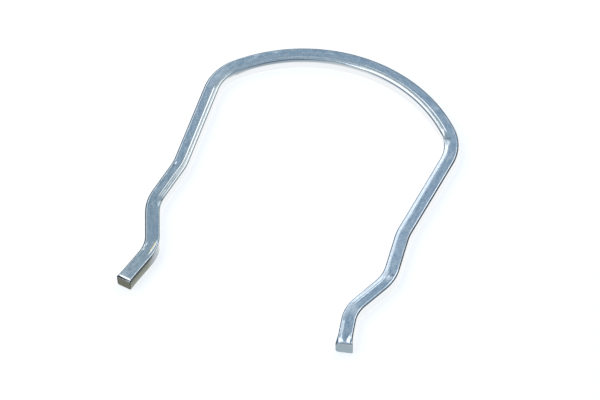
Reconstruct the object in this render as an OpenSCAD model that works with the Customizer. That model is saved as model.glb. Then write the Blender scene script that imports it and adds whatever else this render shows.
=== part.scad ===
/* [Wire] */
// Side of the square wire
wire_w = 3; // [2:0.1:3.6]
// Radius along the four long edges of the wire
edge_r = 0.45; // [0.1:0.05:0.8]

/* [Bow] */
// Radius of the bow, to the middle of the wire
bow_r = 31.6; // [26:0.1:38]
// Angle from the middle of the bow to the start of each corner
bow_half_angle = 45.9; // [38:0.1:52]

/* [Corners] */
// Radius of each corner between bow and leg, to the middle of the wire
corner_r = 9.2; // [4:0.1:12]

/* [Legs] */
// Lean of each leg towards the other, from straight down the spring
leg_lean_angle = 4.7; // [1:0.1:8]
// Straight length of each leg
leg_l = 18.5; // [12:0.1:26]

/* [Knees] */
// Radius of the bend that turns each leg outwards
knee_r = 10; // [4:0.1:14]
// Lean of the short straight below the knee, outwards
shin_lean_angle = 7.4; // [2:0.1:12]
// Straight length below the knee
shin_l = 7.1; // [3:0.1:12]

/* [Catches] */
// Radius of the bend that turns the wire inwards
catch_r = 9; // [4:0.1:12]
// Lean of the catch, inwards
catch_lean_angle = 23.6; // [10:0.1:32]
// Straight length of each catch
catch_l = 5.6; // [3:0.1:10]

/* [Finger tabs] */
// Radius of the bend that turns each end outwards again
tab_r = 7.5; // [4:0.1:10]
// Lean of the tabs, outwards
tab_lean_angle = 12.6; // [4:0.1:25]
// Straight length of the left tab, which was cut longer
left_tab_l = 7; // [4:0.1:12]
// Straight length of the right tab
right_tab_l = 5.7; // [4:0.1:12]

/* [Sheared ends] */
// Angle of the left cut off square, with the inner side of the tab left shorter
left_cut_angle = 5; // [0:1:12]
// Angle of the right cut off square, in the same sense
right_cut_angle = 0; // [0:1:12]
// Radius that the shear rolled over on the top edge of each end
roll_r = 0.55; // [0.1:0.05:0.8]
// Swelling of the left end, on each side
left_swell_w = 0.05; // [0.05:0.05:0.3]
// Swelling of the right end, on each side
right_swell_w = 0.2; // [0.05:0.05:0.3]
// Length over which an end swells
swell_l = 2; // [0.8:0.1:2.5]

/* [Hidden] */
$fn = 96;
// Turn of the wire at each bend, from the leans on its two sides
corner_angle = 90 - bow_half_angle + leg_lean_angle;
knee_angle = leg_lean_angle + shin_lean_angle;
catch_angle = shin_lean_angle + catch_lean_angle;
tab_angle = catch_lean_angle + tab_lean_angle;
// Path of the wire from the bow to a tab: a straight is its length, and a bend its radius and its
// turn, which is positive outwards
path = [
    [corner_r, -corner_angle],
    [leg_l],
    [knee_r, knee_angle],
    [shin_l],
    [catch_r, -catch_angle],
    [catch_l],
    [tab_r, tab_angle],
];
// How much thinner a bend is drawn, on each side, and how far it laps into the wire beside it
hair = 0.01;
lap_l = 0.2;
// Wire left beyond a cut, for the shear to take off
waste_l = wire_w;
// Depth in the wire at which a swelling starts
swell_root = 0.02;
// Thickness of the slices that a swelling is drawn between
slice_l = 0.01;

// Section of the wire, standing on the ground line, with rounded edges
module wire_section(wide = wire_w, high = wire_w) {
    flat_w = wide - 2 * edge_r;
    flat_h = high - 2 * edge_r;
    translate([0, wire_w / 2]) {
        square([flat_w, high], center = true);
        square([wide, flat_h], center = true);
        for (x = [-flat_w / 2, flat_w / 2], y = [-flat_h / 2, flat_h / 2])
            translate([x, y]) circle(r = edge_r);
    }
}

// Straight wire, down the page from the origin
module straight(l) {
    rotate([90, 0, 0]) linear_extrude(l) wire_section();
}

// Bent wire, from the origin through angle a, with radius r to the middle of the wire. It is drawn a
// hair thinner and laps into the wire on its two sides, so that no two surfaces lie in each other.
module bend(r, a) {
    lap_angle = lap_l / r * 180 / PI;
    start_angle = a > 0 ? 180 - lap_angle : a - lap_angle;
    thin_w = wire_w - 2 * hair;
    translate([sign(a) * r, 0, 0]) rotate([0, 0, start_angle])
        rotate_extrude(angle = abs(a) + 2 * lap_angle)
            translate([r, 0]) wire_section(thin_w, thin_w);
}

// Moves what follows to the end of one step of the path
module past(step) {
    if (len(step) == 1)
        translate([0, -step[0], 0]) children();
    else
        translate([sign(step[1]) * step[0], 0, 0]) rotate([0, 0, step[1]])
            translate([-sign(step[1]) * step[0], 0, 0]) children();
}

// Moves what follows to the start of step number i of the path
module at_step(i) {
    if (i == 0)
        children();
    else
        at_step(i - 1) past(path[i - 1]) children();
}

// The wire of one step of the path
module wire_step(step) {
    if (len(step) == 1)
        straight(step[0]);
    else
        bend(step[0], step[1]);
}

// Slice of wire of a given width, used to draw the swelling
module slice(wide) {
    rotate([90, 0, 0]) linear_extrude(slice_l) wire_section(wide, $fn = 32);
}

// The last stretch of wire, which the shear squeezed out sideways
module swelling(l, swell) {
    grow = (swell + swell_root) / swell_l;
    hull() {
        translate([0, swell_l - l, 0]) slice(wire_w - 2 * swell_root);
        translate([0, -l - waste_l, 0]) slice(wire_w + 2 * (swell + grow * waste_l));
    }
}

// What the shear takes off: the waste, and the top edge that it rolled over. The inner side of the
// tab lies towards -X.
module shear(cut_angle) {
    reach = 3 * wire_w;
    rotate([0, 0, -cut_angle]) {
        translate([-reach / 2, -2 * waste_l, -wire_w])
            cube([reach, 2 * waste_l, 3 * wire_w]);
        difference() {
            translate([-reach / 2, -roll_r, wire_w - roll_r])
                cube([reach, 2 * roll_r, 2 * roll_r]);
            translate([-reach, roll_r, wire_w - roll_r])
                rotate([0, 90, 0]) cylinder(r = roll_r, h = 2 * reach);
        }
    }
}

// Finger tab: straight wire with a sheared end
module tab(l, cut_angle, swell) {
    difference() {
        union() {
            straight(l + waste_l);
            swelling(l, swell);
        }
        translate([0, -l, 0]) shear(cut_angle);
    }
}

// One half of the spring below the bow: every step of the path, then the tab
module half(tab_l, cut_angle, swell) {
    rotate([0, 0, -bow_half_angle]) translate([0, bow_r, 0]) rotate([0, 0, 90]) {
        for (i = [0 : len(path) - 1])
            at_step(i) wire_step(path[i]);
        at_step(len(path)) tab(tab_l, cut_angle, swell);
    }
}

// Bow: the round far end that joins the two halves
module bow() {
    rotate([0, 0, 90 - bow_half_angle])
        rotate_extrude(angle = 2 * bow_half_angle) translate([bow_r, 0]) wire_section();
}

// The whole spring, bent from one length of wire, lying flat
module retaining_spring() {
    color([0.56, 0.63, 0.71]) {
        bow();
        half(right_tab_l, right_cut_angle, right_swell_w);
        mirror([1, 0, 0]) half(left_tab_l, left_cut_angle, left_swell_w);
    }
}

retaining_spring();
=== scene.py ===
import math

import bpy
import numpy as np
from mathutils import Matrix, Vector


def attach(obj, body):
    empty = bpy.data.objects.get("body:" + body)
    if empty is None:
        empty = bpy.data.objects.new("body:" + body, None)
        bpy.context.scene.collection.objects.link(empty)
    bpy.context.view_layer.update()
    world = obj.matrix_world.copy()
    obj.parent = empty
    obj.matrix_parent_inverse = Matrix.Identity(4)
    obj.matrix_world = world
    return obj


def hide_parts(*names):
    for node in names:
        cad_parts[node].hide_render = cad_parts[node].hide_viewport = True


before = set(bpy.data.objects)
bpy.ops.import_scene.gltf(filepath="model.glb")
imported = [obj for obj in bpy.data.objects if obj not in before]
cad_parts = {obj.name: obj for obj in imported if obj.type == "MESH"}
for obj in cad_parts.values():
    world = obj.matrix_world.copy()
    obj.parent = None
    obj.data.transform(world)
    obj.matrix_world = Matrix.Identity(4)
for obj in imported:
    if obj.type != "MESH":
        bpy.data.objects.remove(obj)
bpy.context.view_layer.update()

MM = 0.001

# Wire and bends of the spring, in millimetres and degrees, as they are in the part's source
WIRE_W = 3.0
EDGE_R = 0.45
# How much thinner than the straights the bends are drawn in the part, on each side
HAIR = 0.01
BOW_R = 31.6
BOW_HALF_A = 45.9
CORNER_R = 9.2
LEG_L = 18.5
LEG_LEAN_A = 4.7
KNEE_R = 10.0
SHIN_L = 7.1
SHIN_LEAN_A = 7.4
CATCH_R = 9.0
CATCH_L = 5.6
CATCH_LEAN_A = 23.6
TAB_R = 7.5
TAB_LEAN_A = 12.6
LEFT_TAB_L = 7.0
RIGHT_TAB_L = 5.7
LEFT_CUT_A = 5.0
ROLL_R = 0.55
LEFT_SWELL_W = 0.05
RIGHT_SWELL_W = 0.2
SWELL_L = 2.0
# The steps below the bow: a bend's radius and its turn, positive outwards, or a straight's length and 0
BENDS = [
    (CORNER_R, -(90 - BOW_HALF_A + LEG_LEAN_A)),
    (LEG_L, 0),
    (KNEE_R, LEG_LEAN_A + SHIN_LEAN_A),
    (SHIN_L, 0),
    (CATCH_R, -(SHIN_LEAN_A + CATCH_LEAN_A)),
    (CATCH_L, 0),
    (TAB_R, CATCH_LEAN_A + TAB_LEAN_A),
]

# The rolled strip leaves the inner edge of the top face a little sharper
STRIP_EDGE_R = 0.3

# Fineness of the mesh: points of the path of each half, rings between the end zones and in each of them,
# and points on each rounded edge of the section and on its top, inner side, bottom and outer side
PATH_POINTS = 16001
MAIN_RINGS = 700
END_RINGS = 34
END_ZONE = 2.2
EDGE_POINTS = 12
FACE_POINTS = (45, 5, 9, 5)
# Sizes of the rings that close a sheared face, as shares of the wire's last ring
CAP_SIZES = (0.995, 0.97, 0.92, 0.84, 0.74, 0.62, 0.48, 0.34, 0.2, 0.08)
# Length at the left end over which the rings turn from square to the lean of the cut
LEAN_ZONE = 4.0


# ---- path of the wire ----

def centreline(tab_l):
    """Distances, points and headings of one half of the wire, from the middle of the bow. The heading is
    the sum of curvature times length, and a point is the sum of the heading's unit vector times length.
    Heading 0 is along +X."""
    steps = [(BOW_R, -BOW_HALF_A)] + BENDS + [(tab_l, 0)]
    lengths = [r * abs(math.radians(a)) if a else r for r, a in steps]
    curves = [math.copysign(1 / r, a) if a else 0.0 for r, a in steps]
    starts = np.concatenate([[0], np.cumsum(lengths)])
    s = np.linspace(0, starts[-1], PATH_POINTS)
    step = np.clip(np.searchsorted(starts, s, side="right") - 1, 0, len(steps) - 1)
    turned = np.concatenate([[0], np.cumsum(np.array(lengths) * np.array(curves))])
    heading = turned[step] + (s - starts[step]) * np.array(curves)[step]
    ds = s[1] - s[0]
    mid = (heading[1:] + heading[:-1]) / 2
    x = np.concatenate([[0], np.cumsum(np.cos(mid)) * ds])
    y = BOW_R + np.concatenate([[0], np.cumsum(np.sin(mid)) * ds])
    return s, x, y, heading


RIGHT = centreline(RIGHT_TAB_L)
LEFT = centreline(LEFT_TAB_L)
# Both ends, as distances along the wire from the middle of the bow, positive to the right
LEFT_END = -LEFT[0][-1]
RIGHT_END = RIGHT[0][-1]


def place(u, t):
    """Point of the ground plan at distance u along the wire from the middle of the bow, positive to the
    right, and t outwards from the middle of the wire: the centreline point plus t times the normal."""
    out = []
    for sign, (s, x, y, heading) in ((1, RIGHT), (-1, LEFT)):
        a = np.clip(np.abs(u), 0, s[-1])
        over = np.abs(u) - a
        h = np.interp(a, s, heading)
        px = np.interp(a, s, x) - t * np.sin(h) + over * np.cos(h)
        py = np.interp(a, s, y) + t * np.cos(h) + over * np.sin(h)
        out.append((sign * px, py))
    on_right = u >= 0
    return np.where(on_right, out[0][0], out[1][0]), np.where(on_right, out[0][1], out[1][1])


def smooth(x, low, high):
    """Smooth step from 0 at low to 1 at high."""
    k = np.clip((x - low) / (high - low), 0, 1)
    return k * k * (3 - 2 * k)


# ---- what the rolls, the bending tools and the shear left on the wire, and painted shade and highlights ----

# The strip that the rolls left along the inner side of the top face. Each row is a distance along the
# wire, how far inwards of its middle a step lies, and the slopes in degrees of the step, of the shelf
# inside it, and of the lip beside the edge
STRIP = (
    (-84, 0.5, 0, 0, 0),
    (-80, 0.5, 0, 0, 3),
    (-76, 0.5, 0, 0, 4),
    (-73, 0.5, 0, 0, 0),
    (-62.8, 0.42, 0, 0, 0),
    (-61.5, 0.42, 8, 6.5, 4.8),
    (-57, 0.42, 8.5, 6.5, 4.8),
    (-52, 0.5, 9, 6.2, 7),
    (-50, 0.55, 9, 5, 7.2),
    (-33.3, 0.55, 10, 5, 7.2),
    (-31.8, 0.5, 3, 3.5, 6),
    (-28.5, 0.5, 1, 5.4, 6),
    (-24, 0.5, -2, 3.7, 4),
    (-6, 0.45, 1, 5.6, 5.6),
    (-2, 0.45, 4, 6.7, 7),
    (2, 0.45, 9, 7, 8.5),
    (8, 0.43, 9, 7.3, 12),
    (13, 0.43, 11, 7.5, 12),
    (19, 0.43, 14, 7.5, 12),
    (24.7, 0.43, 14, 7, 12),
    (26.6, 0.45, 2, 0, 4),
    (27.6, 0.5, 0, 0, 0),
    (28.6, 0.5, 4, 10, 9),
    (32, 0.5, 5, 5.8, 9.5),
    (50, 0.5, 5, 5.8, 9.5),
    (55, 0.5, 3, 5.5, 8.5),
    (61, 0.5, 3, 5.6, 8.5),
    (64, 0.42, 8, 6.3, 8),
    (71.5, 0.42, 8, 6.2, 7.5),
    (73.5, 0.5, 0, 2, 5),
    (75, 0.5, 0, 1, 4),
    (76.5, 0.5, 2, 5.5, 5),
    (81, 0.5, 2, 5.5, 5),
)
# Half width of the step, and where the shelf starts, the lip takes over from it and the lip ends, as
# distances inwards from the middle of the wire
STEP_HALF_W = 0.13
SHELF_START = (0.6, 0.7)
LIP_START = (0.88, 1.02)
LIP_END = (1.16, 1.28)
# Points across half of the wire at which the slopes are added up
STRIP_POINTS = 301
# Dents of the bending tools and the shear. Each row is a place along and across the wire, a half
# length, a half width and a depth
DENTS = (
    (-53.0, 0.9, 0.4, 0.25, 0.03),
    (-63.6, -0.95, 0.6, 0.25, 0.035),
    (-75.2, 1.0, 0.3, 0.2, 0.022),
    (-74.4, 1.15, 0.3, 0.15, 0.022),
    (-73.7, 0.95, 0.35, 0.2, 0.022),
    (28.4, -0.8, 0.6, 0.4, 0.04),
    (63.3, 0.35, 0.45, 0.4, 0.045),
    (82.4, 1.15, 1.9, 0.5, 0.26),
    (82.4, -1.1, 1.5, 0.6, 0.28),
)
# Places rubbed matt and pale by the tools, and painted highlights, in the same way, with a strength for the
# depth
RUBS_AND_HIGHLIGHTS = (
    (72.6, -0.4, 1.2, 1.0, 0.22),
    (73.6, 0.0, 1.2, 1.1, 0.22),
    (74.2, -1.0, 1.2, 0.7, 0.25),
    (74.4, 0.8, 0.9, 0.5, 0.2),
    (57.0, 0.3, 7.0, 1.6, 0.12),
    (-82.4, 0.5, 0.9, 0.9, 0.15),
    (-30.0, 0.3, 3.0, 1.2, 0.2),
    (-21.0, 0.7, 0.5, 0.7, 0.35),
    (-17.0, 0.9, 0.4, 0.5, 0.3),
    (-13.0, -0.85, 11.0, 0.1, 0.3),
    (19.7, 0.5, 0.4, 0.6, 0.35),
    (23.5, 1.0, 2.0, 0.25, 0.3),
    (26.3, 0.9, 0.8, 0.3, 0.3),
    (32.0, 0.2, 1.2, 0.5, 0.25),
    (-6.0, 0.4, 0.7, 0.25, 0.3),
    (-63.6, -0.95, 0.7, 0.3, 0.35),
    (28.6, -0.75, 0.7, 0.45, 0.6),
    (63.7, 0.35, 0.5, 0.4, 0.6),
    (63.0, -0.8, 0.8, 0.35, 0.6),
)
# Painted shade: small dark places in the bends and at the right end, and faint grey lines in the strip
SHADE_SPOTS = (
    (27.5, -0.6, 0.2, 0.7, 0.45),
    (62.7, 0.6, 0.35, 0.25, 0.55),
    (-53.7, 0.75, 0.3, 0.25, 0.5),
    (-13.0, -0.5, 11.0, 0.12, 0.12),
    (-62.2, -1.35, 1.3, 0.15, 0.5),
    (-30.5, -1.4, 1.0, 0.12, 0.3),
    (43.0, -1.05, 14.0, 0.24, 0.22),
    (58.5, -1.03, 6.0, 0.24, 0.22),
    (68.5, -1.0, 3.0, 0.16, 0.38),
    (15.0, -1.27, 9.0, 0.1, 0.12),
    (81.4, -1.4, 0.6, 0.2, 0.6),
)
# The crease in the left tab's bend: a point of its line, along and across the wire, how far the line
# slants inwards in each millimetre towards the bow, the crease's middle, half length, half width and
# depth, and how far its groove and its golden painted highlight lie inwards of the line
CREASE_POINT = (-75.2, -0.46)
CREASE_SLANT = 0.13
CREASE_MIDDLE = -74.1
CREASE_HALF_L = 1.6
CREASE_HALF_W = 0.12
CREASE_DEPTH = 0.025
GROOVE_IN = 0.14
HIGHLIGHT_IN = 0.03
# What changes along the wire, as rows of a distance along it and a value. The dark line of painted shade
# along
# the outer edge: its place across the wire, its half width and its strength
SHADE_LINE_AT = (
    (-78, 1.1), (-75, 1.3), (-72, 1.28), (-66, 1.28), (-63, 1.36), (26, 1.36), (31, 1.32), (36, 1.36),
    (50, 1.36), (54, 1.24), (60, 1.22), (64, 1.44), (70, 1.5), (76, 1.27),
)
SHADE_LINE_HALF_W = (
    (28, 0.12), (32, 0.17), (52, 0.17), (56, 0.12), (63, 0.12), (66, 0.18), (71, 0.18), (75, 0.1),
)
SHADE_LINE_STRENGTH = (
    (-78, 0.4), (-72, 1.0), (-58, 1.0), (-50, 0.8), (-34, 0.8), (-28, 1.0), (-24, 0.75), (-18, 0.8),
    (-8, 1.3), (0, 1.2), (10, 0.9), (22, 0.75), (27, 0.6), (31, 1.0),
)
# The grey band of painted shade under the inner top edge: the heights of its foot and its top, and its
# strength
BAND_FOOT = (
    (-60, 2.6), (-34, 2.6), (-29, 2.4), (-26, 1.9), (-20, 2.2), (-12, 2.05), (-2, 2.05), (2, 2.3),
    (8, 2.4), (25, 2.6), (28, 3.1), (48, 3.1), (54, 2.5), (66, 2.5), (70, 3.1), (75, 2.7), (80, 2.5),
)
BAND_TOP = (
    (-29, 2.75), (-24, 2.8), (-20, 2.9), (-12, 2.9), (-6, 2.75), (1, 2.75), (6, 3.1),
)
BAND_STRENGTH = (
    (-34, 0.8), (-31, 0.3), (-26, 0.8), (-22, 0.9), (-10, 0.8), (-4, 0.6), (2, 0.6), (8, 1.0),
)
# Half of the height over which the band's foot and top fade, and where it starts from the left end
BAND_FOOT_SOFT = 0.15
BAND_TOP_SOFT = 0.04
BAND_FROM_LEFT = 14
# How blue the plate is, and how much of that blue the rolls took off the strip
BLUE = (
    (-80, 0.3), (-74, 0.0), (-58, 0.05), (-48, 0.4), (-30, 0.5), (0, 0.65), (12, 0.8), (34, 0.8),
    (52, 0.9), (56, 1.0), (61, 1.0), (65, 0.8), (72, 0.7), (79, 0.6),
)
THIN_STRIP = (
    (-64, 0), (-60, 1), (-32, 0.9), (-26, 0.3), (0, 0.4), (3, 0.9), (24, 0.8), (30, 0.5), (36, 0),
)


def value_along(u, table):
    """Value at distance u along the wire, straight between the rows of a table of distances and values."""
    distances, values = np.array(table).T
    return np.interp(u, distances, values)


def spots(u, t, table):
    """Sum of rounded spots: a height times e to the minus sum of the squares of the distances along and
    across the wire, in half lengths and half widths."""
    u0, t0, half_u, half_t, height = np.array(table).T
    off = ((u[..., None] - u0) / half_u) ** 2 + ((t[..., None] - t0) / half_t) ** 2
    return (height * np.exp(-off)).sum(axis=-1)


def crease(u, t, inwards):
    """1 on the crease's line, moved inwards, and less away from it: e to the minus sum of the fourth power
    of the distance from its middle, in half lengths, and the square of the one from its line, in half
    widths."""
    line = CREASE_POINT[1] - CREASE_SLANT * (u - CREASE_POINT[0]) - inwards
    return np.exp(-((u - CREASE_MIDDLE) / CREASE_HALF_L) ** 4 - ((t - line) / CREASE_HALF_W) ** 2)


def strip_depth(u, t):
    """Depth in millimetres of the strip at each point of the rings at stations u: the slopes of its step,
    shelf and lip, added up from the middle of the face inwards."""
    x = np.linspace(0, WIRE_W / 2, STRIP_POINTS)
    distances, *rows = np.array(STRIP).T
    step_at, step, shelf, lip = (np.interp(u, distances, row)[:, None] for row in rows)
    slope = step * np.exp(-((x - step_at) / STEP_HALF_W) ** 2)
    slope = slope + shelf * smooth(x, *SHELF_START) * (1 - smooth(x, *LIP_START))
    slope = slope + lip * smooth(x, *LIP_START) * (1 - smooth(x, *LIP_END))
    depth = np.cumsum(np.tan(np.radians(slope)), axis=1) * x[1]
    k = np.clip(-t, 0, x[-1]) / x[1]
    low = np.minimum(k.astype(int), len(x) - 2)
    ring = np.arange(len(u))[:, None]
    return depth[ring, low] + (depth[ring, low + 1] - depth[ring, low]) * (k - low)


# ---- the wire ----

def section():
    """Square with rounded edges round the middle of the wire, as sideways and upwards distances,
    anticlockwise from the outer face: four quarter circles joined by straights, all of the edge radius but
    the one beside the strip. The top straight has the most points, because it carries the strip."""
    half = WIRE_W / 2 - HAIR
    edges = ((1, 1, EDGE_R), (-1, 1, STRIP_EDGE_R), (-1, -1, EDGE_R), (1, -1, EDGE_R))
    arcs = []
    for i, (side, up_or_down, r) in enumerate(edges):
        a = np.radians(90 * i + np.linspace(0, 90, EDGE_POINTS))
        arcs.append((side * (half - r) + r * np.cos(a), up_or_down * (half - r) + r * np.sin(a)))
    t, z = [], []
    for i, n in enumerate(FACE_POINTS):
        (t0, z0), (t1, z1) = arcs[i], arcs[(i + 1) % 4]
        f = np.linspace(0, 1, n + 2)[1:-1]
        t += [t0, t0[-1] + (t1[0] - t0[-1]) * f]
        z += [z0, z0[-1] + (z1[0] - z0[-1]) * f]
    return np.concatenate(t), np.concatenate(z)


def stations():
    """Distances along the wire of its rings: even between the end zones, and in each zone its length times
    1 minus a fraction to the power 0.6, so that they stand closer towards the end."""
    near = END_ZONE * (1 - np.linspace(0, 1, END_RINGS) ** 0.6)
    main = np.linspace(LEFT_END + END_ZONE, RIGHT_END - END_ZONE, MAIN_RINGS)
    return np.concatenate([LEFT_END + near[::-1], main[1:-1], RIGHT_END - near])


def wire_rings():
    """Rings of the whole wire: the section set across the path at each station, then drawn in towards its
    middle to close the sheared faces. Gives the distance along the wire, the one across it and the height
    of each point, and 1 for the points of the sheared faces."""
    t0, z0 = section()
    u = stations()
    # The ends swell in a straight flare
    flare_r = RIGHT_SWELL_W * np.clip(1 - (RIGHT_END - u) / SWELL_L, 0, 1)
    flare_l = LEFT_SWELL_W * np.clip(1 - (u - LEFT_END) / SWELL_L, 0, 1)
    t = t0[None, :] * (1 + (flare_r + flare_l)[:, None] / (WIRE_W / 2))
    z = np.repeat(z0[None, :] * WIRE_W / (WIRE_W - 2 * HAIR) + WIRE_W / 2, len(u), axis=0)
    U = np.repeat(u[:, None], t.shape[1], axis=1)
    # The strip, the dents and the crease are let into the top
    top = smooth(z, WIRE_W - EDGE_R, WIRE_W)
    groove = CREASE_DEPTH * crease(U, t, GROOVE_IN)
    z = z - (strip_depth(u, t) + spots(U, t, DENTS) + groove) * top
    # Copies of the end rings, drawn in towards the middle, close the sheared faces
    share = np.array(CAP_SIZES)[:, None]
    mid = WIRE_W / 2
    T = np.concatenate([(share * t[0])[::-1], t, share * t[-1]])
    Z = np.concatenate([(mid + share * (z[0] - mid))[::-1], z, mid + share * (z[-1] - mid)])
    cap = np.ones((len(CAP_SIZES), t.shape[1]))
    U = np.concatenate([LEFT_END * cap, U, RIGHT_END * cap])
    face = np.concatenate([cap, np.zeros(t.shape), cap])
    # The shear rolled each top edge over in a quarter circle, and the left cut leans
    for d in (U - LEFT_END, RIGHT_END - U):
        drop = ROLL_R - np.sqrt(ROLL_R ** 2 - np.clip(ROLL_R - d, 0, ROLL_R) ** 2)
        Z = np.minimum(Z, WIRE_W - drop)
    U = U - T * math.tan(math.radians(LEFT_CUT_A)) * smooth(LEFT_END - U, -LEAN_ZONE, 0)
    return U, T, Z, face


def wire_mesh(U, T, Z):
    """Points in metres, quads between the rings, and a fan of triangles from each end's middle to its last
    ring. The middles are the two last points, left and then right."""
    X, Y = place(U, T)
    n_ring, n_around = X.shape
    points = np.stack([X, Y, Z], axis=-1).reshape(-1, 3) * MM
    middles = [[X[row].mean() * MM, Y[row].mean() * MM, Z[row].mean() * MM] for row in (0, -1)]
    points = np.concatenate([points, np.array(middles)])
    i = np.arange(n_ring - 1)[:, None] * n_around
    j = np.arange(n_around)[None, :]
    k = (j + 1) % n_around
    quads = np.stack([i + j, i + n_around + j, i + n_around + k, i + k], axis=-1).reshape(-1, 4)
    left_middle = n_ring * n_around
    right_middle = left_middle + 1
    last_ring = left_middle - n_around
    j, k = j.ravel(), k.ravel()
    fans = np.concatenate([
        np.stack([j, k, np.full(n_around, left_middle)], axis=-1),
        np.stack([last_ring + k, last_ring + j, np.full(n_around, right_middle)], axis=-1),
    ])
    return points, quads, fans


def finish_shares(along, across, high, sheared):
    """Share of each finish, painted shade and highlights among them, at every point of the wire, and the
    strength of the flecks' relief, made of products of smooth steps. Each step runs between two distances
    in
    millimetres: along the wire, outwards from its middle, over the floor or from an end. Sheared is 1 on
    the sheared faces."""
    from_left = along - LEFT_END
    from_right = RIGHT_END - along
    on_top = smooth(high, 2.6, 2.8)
    inner = smooth(-across, 1.25, 1.45)
    in_strip = smooth(-across, 0.2, 0.45)
    rolled = (1 - smooth(from_right, 0.4, 0.5)) * (1 - sheared)
    # Matt grey of the right sheared face, fainter on its rolled edge
    matt = np.maximum(sheared, 0.55 * rolled) * (along > 0)
    # Bare olive steel of the left sheared face, and the same olive on the inner side of its tab as painted
    # shade, paler towards the foot
    tab_side_shade = inner * (1 - smooth(high, 2.75, 2.9)) * (1 - smooth(from_left, 5.5, 8.5))
    olive_steel_and_shade = np.maximum(sheared, tab_side_shade) * (along < 0)
    # Painted light on the tab's side: paler towards the foot, darker towards the top
    lit_foot = np.clip(1.25 - 1.2 * high / WIRE_W, 0, 1) * (1 - sheared)
    # Dark: a line of painted shade along the outer edge, which is strongest about the middle of the bow and
    # faint on the left tab; painted shade under the top edge of that tab; and the darker rim of the left
    # sheared face
    line = np.exp(-((across - value_along(along, SHADE_LINE_AT)) / value_along(along, SHADE_LINE_HALF_W)) ** 2)
    line = line * smooth(high, 2.7, 2.85) * value_along(along, SHADE_LINE_STRENGTH)
    under_edge = np.exp(-((high - 2.74) / 0.18) ** 2)
    by_left_tab = 1 - smooth(from_left, 6.5, 9.0)
    tab_shade_line = inner * under_edge * by_left_tab * (along < 0)
    rim_top = smooth(high, 2.53, 2.63)
    rim_side = smooth(np.abs(across), 1.28, 1.46) * smooth(high, 0.6, 2.2)
    at_left_cut = 1 - smooth(from_left, 0.1, 0.18)
    rim = at_left_cut * np.maximum(rim_top, rim_side)
    # The dark spots on the top are painted shade too
    shade_and_dark_rim = (line + tab_shade_line) * (1 - sheared) + rim + spots(along, across, SHADE_SPOTS) * on_top
    # Grey: a band of painted shade under the inner top edge, and a grey patch beside the olive steel
    band_foot = value_along(along, BAND_FOOT)
    band_top = value_along(along, BAND_TOP)
    shade_band = smooth(high, band_foot - BAND_FOOT_SOFT, band_foot + BAND_FOOT_SOFT)
    shade_band = shade_band * (1 - smooth(high, band_top - BAND_TOP_SOFT, band_top + BAND_TOP_SOFT))
    inner_edge = smooth(-across, 1.2, 1.38)
    shade_band = shade_band * value_along(along, BAND_STRENGTH) * inner_edge * (from_left > BAND_FROM_LEFT)
    beside_olive = smooth(from_left, 5.0, 7.0) * (1 - smooth(from_left, 9.0, 11.0))
    patch = 0.8 * inner * beside_olive * (1 - on_top)
    # The tools rubbed the tops, and the shear the rolled edge of the right end; some of the pale places are
    # painted highlights
    rubbed_and_highlight = np.maximum(np.clip(spots(along, across, RUBS_AND_HIGHLIGHTS), 0, 1) * on_top, rolled)
    # The left catch and the sides are plainer than the rest
    catch = smooth(along, -73.5, -72) * (1 - smooth(along, -66, -64)) * on_top
    # The passivation is thinner where the rolls pressed the strip, and on the left tab
    thin = np.maximum(in_strip * value_along(along, THIN_STRIP), 0.4 * (1 - smooth(along, -75, -72)))
    return {
        "matt": matt,
        "olive_steel_and_shade": olive_steel_and_shade,
        "lit_foot": lit_foot,
        "shade_and_dark_rim": np.clip(shade_and_dark_rim, 0, 1),
        "shade_band_and_grey_patch": np.maximum(shade_band, patch),
        "rubbed_and_highlight": rubbed_and_highlight,
        # Painted golden highlight streak beside the crease
        "golden_highlight": crease(along, across, HIGHLIGHT_IN) * on_top,
        "blue": value_along(along, BLUE),
        "thin": thin * on_top,
        "calm": np.maximum(0.75 * catch, 0.85 * (1 - on_top)),
        # The inner side, and the outer side of the right leg, get a brighter plate than the top: painted
        # light
        "side": (1 - on_top) * np.maximum(smooth(-across, 0, 1), smooth(along, 20, 32)),
        # The flecks are raised only where the rolled strip didn't flatten them
        "raised": 0.15 * (1 - 0.8 * in_strip),
    }


def make_mesh(name, points, quads, tris, attributes, uv):
    """Mesh object from arrays of points, quads and triangles, with point attributes and a UV map."""
    mesh = bpy.data.meshes.new(name)
    mesh.from_pydata(points.tolist(), [], quads.tolist() + tris.tolist())
    for key, values in attributes.items():
        attribute = mesh.attributes.new(key, "FLOAT", "POINT")
        attribute.data.foreach_set("value", values.astype(np.float32).ravel())
    layer = mesh.uv_layers.new(name="wire")
    loops = np.zeros(len(mesh.loops), np.int32)
    mesh.loops.foreach_get("vertex_index", loops)
    layer.data.foreach_set("uv", uv[loops].astype(np.float32).ravel())
    mesh.polygons.foreach_set("use_smooth", np.ones(len(mesh.polygons), bool))
    mesh.update()
    obj = bpy.data.objects.new(name, mesh)
    bpy.context.scene.collection.objects.link(obj)
    return obj


U, T, Z, face = wire_rings()
points, quads, fans = wire_mesh(U, T, Z)
# Places of all points, in millimetres, with the middles of the two sheared faces last, as in the mesh
along = np.concatenate([U.ravel(), [LEFT_END, RIGHT_END]])
across = np.concatenate([T.ravel(), [0, 0]])
high = np.concatenate([Z.ravel(), [WIRE_W / 2] * 2])
sheared = np.concatenate([face.ravel(), [1, 1]])
finish = finish_shares(along, across, high, sheared)
# The UV map unrolls the top and both sides in metres: along the wire, and round it from the middle
uv = np.stack([along, across + np.sign(across) * (WIRE_W - high)], axis=-1) * MM
spring = make_mesh("spring_wire", points, quads, fans, finish, uv)
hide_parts("retaining_spring")
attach(spring, "root")


# ---- materials ----

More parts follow.
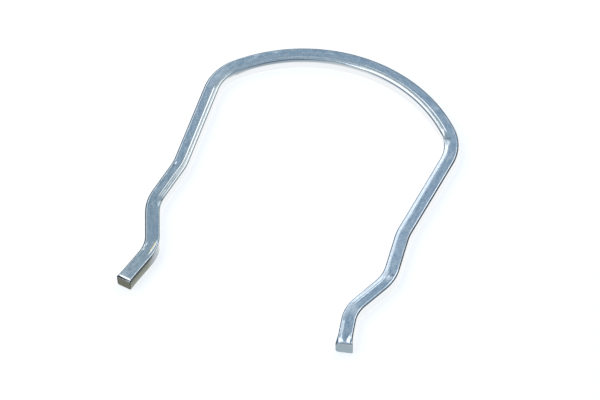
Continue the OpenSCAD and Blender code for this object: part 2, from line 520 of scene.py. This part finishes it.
def linear(hex_colour):
    """sRGB hex colour as linear red, green, blue and 1."""
    c = np.array([int(hex_colour[i:i + 2], 16) for i in (1, 3, 5)]) / 255
    lin = np.where(c <= 0.04045, c / 12.92, ((c + 0.055) / 1.055) ** 2.4)
    return (*lin.tolist(), 1.0)


def add(tree, kind, feeds=(), stops=(), **settings):
    """Adds one node. Settings are its properties. Feeds are pairs of a socket and what goes into it:
    another node's output, a number, a vector or a hex colour. Stops are the places and hex colours of a
    ramp."""
    node = tree.nodes.new(kind)
    for key, value in settings.items():
        setattr(node, key, value)
    for socket, value in feeds:
        if isinstance(value, bpy.types.NodeSocket):
            tree.links.new(value, node.inputs[socket])
        else:
            node.inputs[socket].default_value = linear(value) if isinstance(value, str) else value
    for i, (position, colour) in enumerate(stops):
        if i == len(node.color_ramp.elements):
            node.color_ramp.elements.new(position)
        node.color_ramp.elements[i].position = position
        node.color_ramp.elements[i].color = linear(colour)
    return node


# Height of the lines of the die and of the flecks, in metres, and grains in a metre of a sheared face,
# each about 0.15 mm
LINES_HIGH = 0.01 * MM
FLECKS_HIGH = 0.02 * MM
GRAINS = 6500


def zinc_plate(finishes):
    """Zinc-plated spring steel: square wire drawn through a die, then bright zinc with a blue passivation.
    The eye sees a pale blue-grey metal with fine lines along the wire, faint clouds and flecks, bare olive
    steel at the left end, matt grey on the right sheared face, rubbed places, painted shade and highlights."""
    mat = bpy.data.materials.new("zinc_plated_spring_steel")
    mat.use_nodes = True
    tree = mat.node_tree
    tree.nodes.clear()
    # Noise drawn out by a size in millimetres along the wire and one across it: clouds of the passivation,
    # flecks that cross the wire where rollers pressed, and lines of the die
    wire_map = add(tree, "ShaderNodeUVMap", uv_map="wire").outputs[0]
    noise = {}
    for name, along_mm, across_mm, detail in (
        ("clouds", 1.8, 0.5, 3),
        ("flecks", 0.3, 0.7, 2),
        ("lines", 8.0, 0.12, 2),
    ):
        feeds = [(0, wire_map), ("Scale", (1000 / along_mm, 1000 / across_mm, 1))]
        stretch = add(tree, "ShaderNodeMapping", feeds)
        feeds = [("Vector", stretch.outputs[0]), ("Scale", 1), ("Detail", detail), ("Roughness", 0.55)]
        noise[name] = add(tree, "ShaderNodeTexNoise", feeds, noise_dimensions="2D").outputs["Fac"]
    # Grain of the sheared faces
    place_map = add(tree, "ShaderNodeTexCoord").outputs["Object"]
    feeds = [("Vector", place_map), ("Scale", GRAINS), ("Detail", 3), ("Roughness", 0.6)]
    grain = add(tree, "ShaderNodeTexNoise", feeds).outputs["Fac"]
    share = {key: add(tree, "ShaderNodeAttribute", attribute_name=key).outputs["Fac"] for key in finishes}
    # The plate, from greyer to bluer, each with its own pale and dark flecks
    feeds = [(0, 0.5), (2, noise["clouds"]), (3, noise["flecks"])]
    mottle = add(tree, "ShaderNodeMix", feeds).outputs[0]
    stops = [(0.36, "#C3CDD1"), (0.5, "#DAE2E3"), (0.64, "#EDF2F2")]
    grey_plate = add(tree, "ShaderNodeValToRGB", [(0, mottle)], stops)
    stops = [(0.36, "#D8E2EC"), (0.5, "#EDF3F9"), (0.64, "#FBFDFF")]
    blue_plate = add(tree, "ShaderNodeValToRGB", [(0, mottle)], stops)
    # The sheared faces: matt grey on the right, and olive on the left; the tab's inner side gets the olive
    # as painted shade, a shaded copy at the top and a lit copy at the foot
    stops = [(0.35, "#A1B3BD"), (0.65, "#BAC9D1")]
    matt = add(tree, "ShaderNodeValToRGB", [(0, grain)], stops)
    stops = [(0.35, "#696B5F"), (0.65, "#87897C")]
    olive_shaded_top = add(tree, "ShaderNodeValToRGB", [(0, grain)], stops)
    stops = [(0.35, "#98A096"), (0.65, "#B2B9AE")]
    olive_lit_foot = add(tree, "ShaderNodeValToRGB", [(0, grain)], stops)
    feeds = [(0, share["lit_foot"]), (6, olive_shaded_top.outputs[0]), (7, olive_lit_foot.outputs[0])]
    olive_steel_and_shade = add(tree, "ShaderNodeMix", feeds, data_type="RGBA")
    # The finishes, painted shade and painted highlights among them, are laid over one another, each with
    # the share that its place has of it
    colour = grey_plate.outputs[0]
    for key, tint in (
        ("blue", blue_plate.outputs[0]),
        ("thin", "#F3F1EA"),
        ("calm", "#D6DEE1"),
        # painted light: the sides brighter than the top
        ("side", "#F3F6F9"),
        # real rubbed places, and painted highlights
        ("rubbed_and_highlight", "#F2F5F6"),
        # painted golden highlight beside the crease
        ("golden_highlight", "#FFE7A8"),
        # painted shade band under the inner top edge, and a grey patch
        ("shade_band_and_grey_patch", "#8292A0"),
        ("matt", matt.outputs[0]),
        # olive steel of the left sheared face, and painted shade on the tab's side
        ("olive_steel_and_shade", olive_steel_and_shade.outputs[2]),
        # painted shade, and the darker rim of the left sheared face
        ("shade_and_dark_rim", "#333A40"),
    ):
        feeds = [(0, share[key]), (6, colour), (7, tint)]
        colour = add(tree, "ShaderNodeMix", feeds, data_type="RGBA").outputs[2]
    # Bright plate is a little rougher in some clouds than in others, and matt where rubbed or sheared
    feeds = [(0, noise["clouds"]), ("From Min", 0.3), ("From Max", 0.7), ("To Min", 0.11), ("To Max", 0.17)]
    rough = add(tree, "ShaderNodeMapRange", feeds).outputs[0]
    for key, level in (("rubbed_and_highlight", 0.5), ("matt", 0.55), ("olive_steel_and_shade", 0.55)):
        rough = add(tree, "ShaderNodeMix", [(0, share[key]), (2, rough), (3, level)]).outputs[0]
    feeds = [("Height", noise["lines"]), ("Strength", 0.15), ("Distance", LINES_HIGH)]
    relief = add(tree, "ShaderNodeBump", feeds).outputs[0]
    feeds = [("Height", noise["flecks"]), ("Strength", share["raised"]), ("Distance", FLECKS_HIGH)]
    relief = add(tree, "ShaderNodeBump", feeds + [("Normal", relief)]).outputs[0]
    feeds = [("Base Color", colour), ("Roughness", rough), ("Normal", relief), ("Metallic", 1)]
    metal = add(tree, "ShaderNodeBsdfPrincipled", feeds)
    add(tree, "ShaderNodeOutputMaterial", [("Surface", metal.outputs[0])])
    return mat


spring.data.materials.append(zinc_plate(finish))


# ---- floor, light and camera ----

def white_paper():
    """Matt white paper. The camera sees it white with the object's shadow, and the metal sees it white."""
    mat = bpy.data.materials.new("white_paper")
    mat.use_nodes = True
    tree = mat.node_tree
    tree.nodes.clear()
    rays = add(tree, "ShaderNodeLightPath")
    paper = add(tree, "ShaderNodeBsdfDiffuse", [("Color", "#D2D2D2")])
    glow = add(tree, "ShaderNodeEmission", [("Color", "#FFFFFF"), ("Strength", 0.7)])
    lit = add(tree, "ShaderNodeAddShader", [(0, paper.outputs[0]), (1, glow.outputs[0])])
    white = add(tree, "ShaderNodeEmission", [("Color", "#FFFFFF"), ("Strength", 1)])
    feeds = [(0, rays.outputs["Is Camera Ray"]), (1, paper.outputs[0]), (2, lit.outputs[0])]
    seen = add(tree, "ShaderNodeMixShader", feeds)
    feeds = [(0, rays.outputs["Is Glossy Ray"]), (1, seen.outputs[0]), (2, white.outputs[0])]
    surface = add(tree, "ShaderNodeMixShader", feeds)
    add(tree, "ShaderNodeOutputMaterial", [("Surface", surface.outputs[0])])
    return mat


# A sheet 3 m square, a hair below the spring
FLOOR_HALF = 1.5
FLOOR_Z = -0.00002
corners = [(x * FLOOR_HALF, y * FLOOR_HALF, FLOOR_Z) for x, y in ((-1, -1), (1, -1), (1, 1), (-1, 1))]
floor_mesh = bpy.data.meshes.new("floor")
floor_mesh.from_pydata(corners, [], [(0, 1, 2, 3)])
floor = bpy.data.objects.new("floor", floor_mesh)
bpy.context.scene.collection.objects.link(floor)
floor_mesh.materials.append(white_paper())

# The room: dim at the horizon and blue-grey above, which the top faces mirror; white behind the object
world = bpy.data.worlds.new("studio")
bpy.context.scene.world = world
world.use_nodes = True
tree = world.node_tree
tree.nodes.clear()
rays = add(tree, "ShaderNodeLightPath")
direction = add(tree, "ShaderNodeTexCoord").outputs["Generated"]
height = add(tree, "ShaderNodeSeparateXYZ", [(0, direction)]).outputs["Z"]
room_stops = [(0.0, "#4C565E"), (0.3, "#545F68"), (0.5, "#8AA0B3"), (1.0, "#90A6BA")]
room_colour = add(tree, "ShaderNodeValToRGB", [(0, height)], room_stops)
room = add(tree, "ShaderNodeBackground", [("Color", room_colour.outputs[0]), ("Strength", 1)])
backdrop = add(tree, "ShaderNodeBackground", [("Color", "#FFFFFF"), ("Strength", 1)])
feeds = [(0, rays.outputs["Is Camera Ray"]), (1, room.outputs[0]), (2, backdrop.outputs[0])]
add(tree, "ShaderNodeOutputWorld", [("Surface", add(tree, "ShaderNodeMixShader", feeds).outputs[0])])

# Three softboxes in the ceiling, facing straight down and about as bright as white paper. Each row is a
# name, the middle over the floor, the width, the depth and the power in watts
CEILING = 1.5
for name, x, y, width, depth, power in (
    ("right_softbox", 0.30, 0.96, 0.90, 0.66, 2.15),
    ("left_softbox", -0.945, 1.09, 0.51, 0.975, 1.6),
    ("front_softbox", -0.90, -0.48, 1.20, 2.04, 9.2),
):
    lamp = bpy.data.lights.new(name, "AREA")
    lamp.shape = "RECTANGLE"
    lamp.size = width
    lamp.size_y = depth
    lamp.energy = power
    softbox = bpy.data.objects.new(name, lamp)
    softbox.location = (x, y, CEILING)
    bpy.context.scene.collection.objects.link(softbox)

# The photograph's camera: azimuth and elevation of the view, its roll, its frame and focal length in
# pixels, scale in pixels per millimetre, and the pixel of the bow's centre on the top face
AZ = math.radians(24.41)
EL = math.radians(53.95)
ROLL = math.radians(-2.65)
FRAME_W = 600
FRAME_H = 400
FOCAL = 4000.0
PX_PER_MM = 5.088
CENTRE_PX = (299.71, 179.93)
SENSOR_MM = 36

back = Vector((math.sin(AZ) * math.cos(EL), -math.cos(AZ) * math.cos(EL), math.sin(EL)))
level = Vector((math.cos(AZ), math.sin(AZ), 0))
upright = back.cross(level)
right = math.cos(ROLL) * level + math.sin(ROLL) * upright
up = -math.sin(ROLL) * level + math.cos(ROLL) * upright
distance = FOCAL / PX_PER_MM * MM
spot = Vector((0, 0, WIRE_W * MM)) + distance * back
spot -= (CENTRE_PX[0] - FRAME_W / 2) / FOCAL * distance * right
spot -= (FRAME_H / 2 - CENTRE_PX[1]) / FOCAL * distance * up
camera = bpy.data.objects.new("camera", bpy.data.cameras.new("camera"))
bpy.context.scene.collection.objects.link(camera)
camera.data.sensor_width = SENSOR_MM
camera.data.lens = FOCAL / FRAME_W * SENSOR_MM
camera.data.clip_start = 0.01
camera.data.clip_end = 10
camera.matrix_world = Matrix((
    (right.x, up.x, back.x, spot.x),
    (right.y, up.y, back.y, spot.y),
    (right.z, up.z, back.z, spot.z),
    (0, 0, 0, 1),
))
bpy.context.scene.camera = camera
bpy.context.scene.view_settings.view_transform = "Standard"
